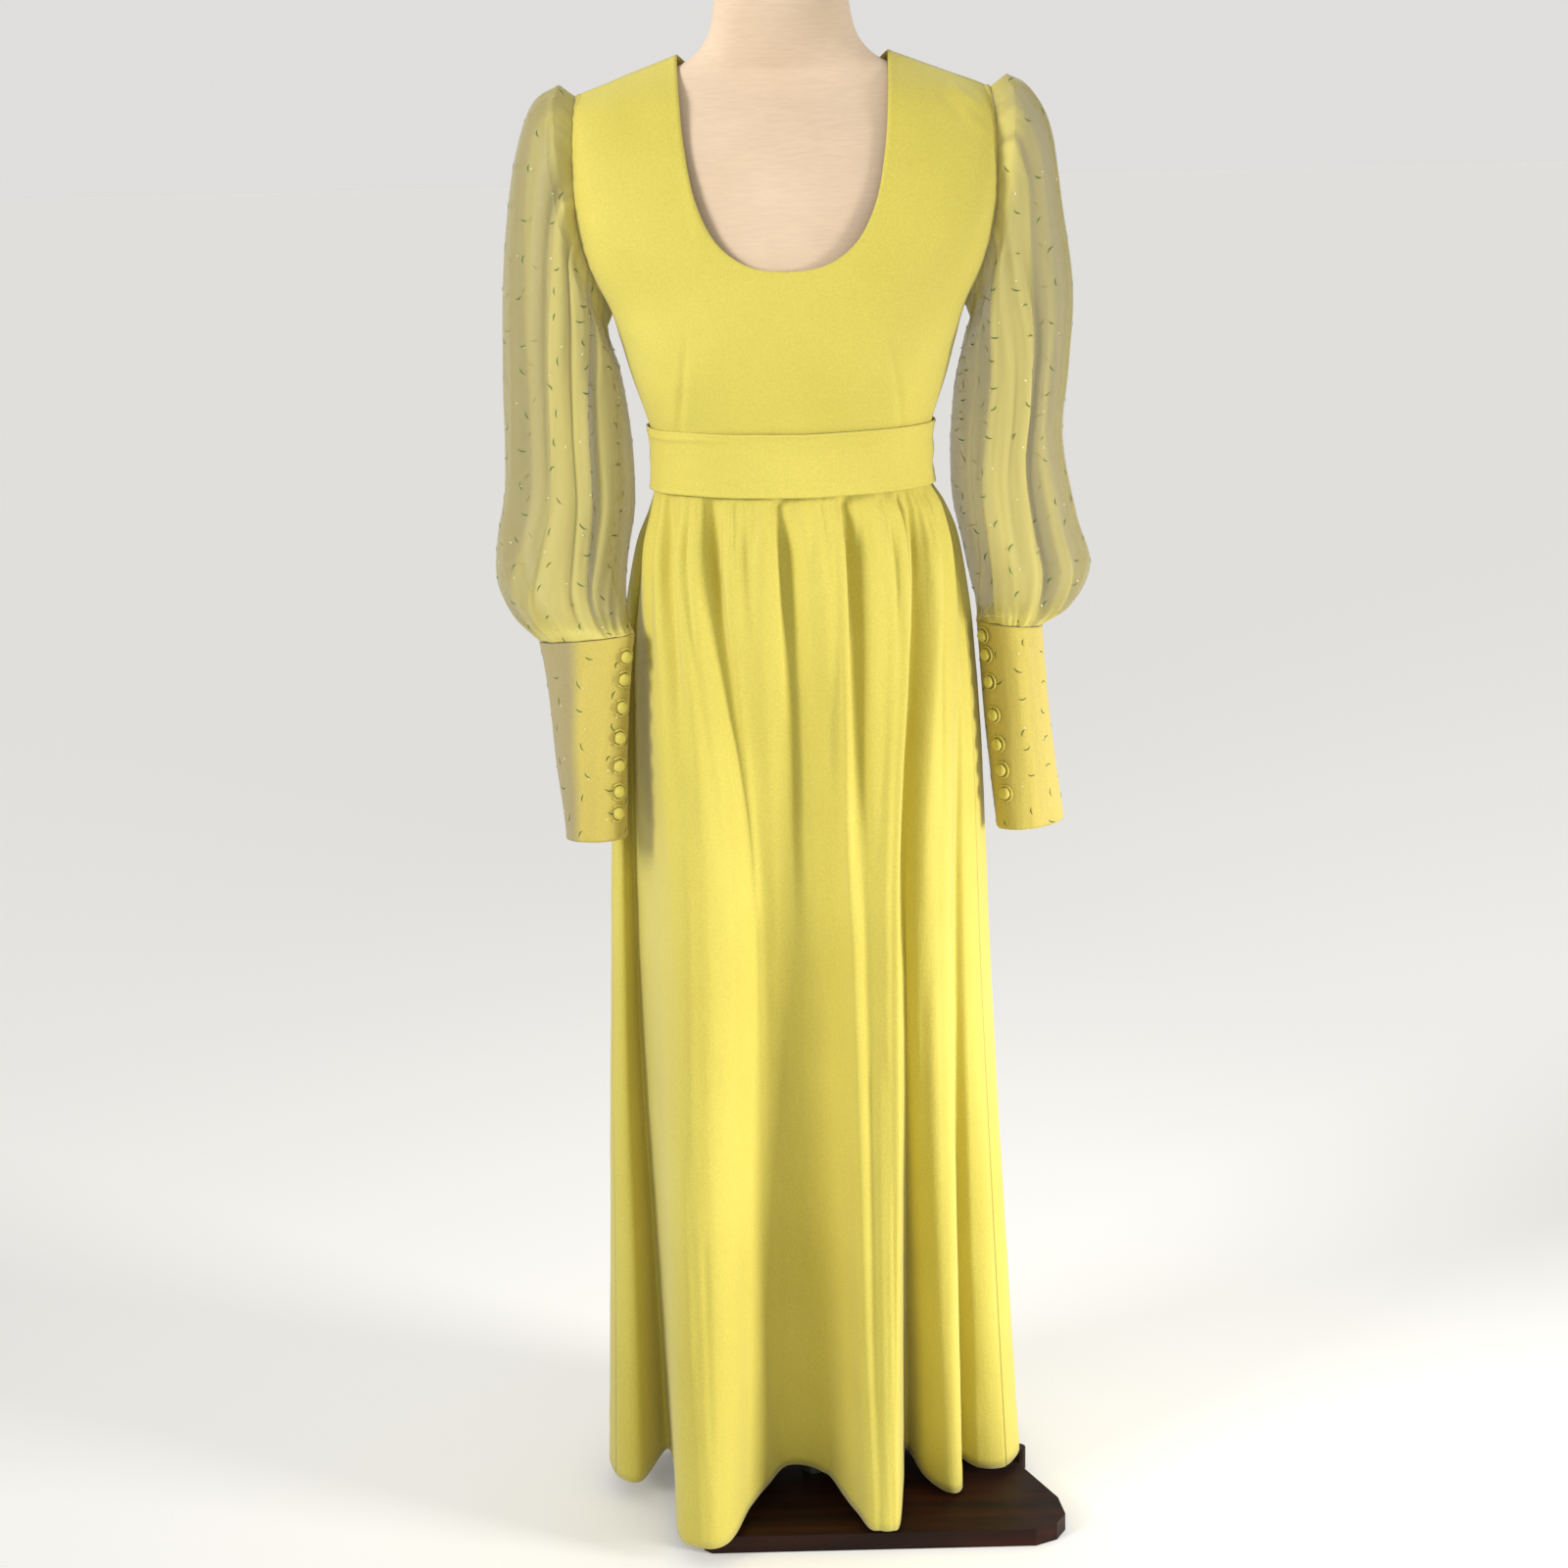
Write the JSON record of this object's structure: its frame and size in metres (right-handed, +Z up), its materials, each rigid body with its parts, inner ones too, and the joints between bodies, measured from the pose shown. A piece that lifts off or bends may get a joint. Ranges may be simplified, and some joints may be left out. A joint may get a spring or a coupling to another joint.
{
  "type": "maxi dress on a limbless dress form",
  "caption": "Long empire-line dress with scoop neck, sash, gathered skirt and full sheer sleeves in long buttoned cuffs, worn by a limbless dress form on a wooden stand.",
  "frame": {"origin": "on the underside of the stand's wooden base, below the middle of the dress form", "axes": "+Z up; the dress faces -Y; the wearer's left is +X"},
  "size_m": [0.5607, 0.3113, 1.503],
  "materials": {
    "crepe": "matt lemon yellow crepe",
    "sheer": "sheer lemon voile with small woven green and white sprigs",
    "cuff_cloth": "voile over crepe, with the same small sprigs",
    "linen": "cream jersey cover of the dress form",
    "pole": "plain tube",
    "wood": "dark polished mahogany, worn at the edges"
  },
  "bodies": {
    "root": {"bodice_back_left": "crepe", "bodice_back_right": "crepe", "bodice_front": "crepe", "button_left_1": "crepe", "button_left_2": "crepe", "button_left_3": "crepe", "button_left_4": "crepe", "button_left_5": "crepe", "button_left_6": "crepe", "button_left_7": "crepe", "button_right_1": "crepe", "button_right_2": "crepe", "button_right_3": "crepe", "button_right_4": "crepe", "button_right_5": "crepe", "button_right_6": "crepe", "button_right_7": "crepe", "cuff_left": "cuff_cloth", "cuff_right": "cuff_cloth", "dress_form": "linen", "loop_left_1": "crepe", "loop_left_2": "crepe", "loop_left_3": "crepe", "loop_left_4": "crepe", "loop_left_5": "crepe", "loop_left_6": "crepe", "loop_left_7": "crepe", "loop_right_1": "crepe", "loop_right_2": "crepe", "loop_right_3": "crepe", "loop_right_4": "crepe", "loop_right_5": "crepe", "loop_right_6": "crepe", "loop_right_7": "crepe", "sash": "crepe", "skirt_back_left": "crepe", "skirt_back_right": "crepe", "skirt_front": "crepe", "sleeve_left": "sheer", "sleeve_right": "sheer", "stand_base": "wood", "stand_knob": "wood", "stand_pole": "pole"}
  },
  "joints": []
}
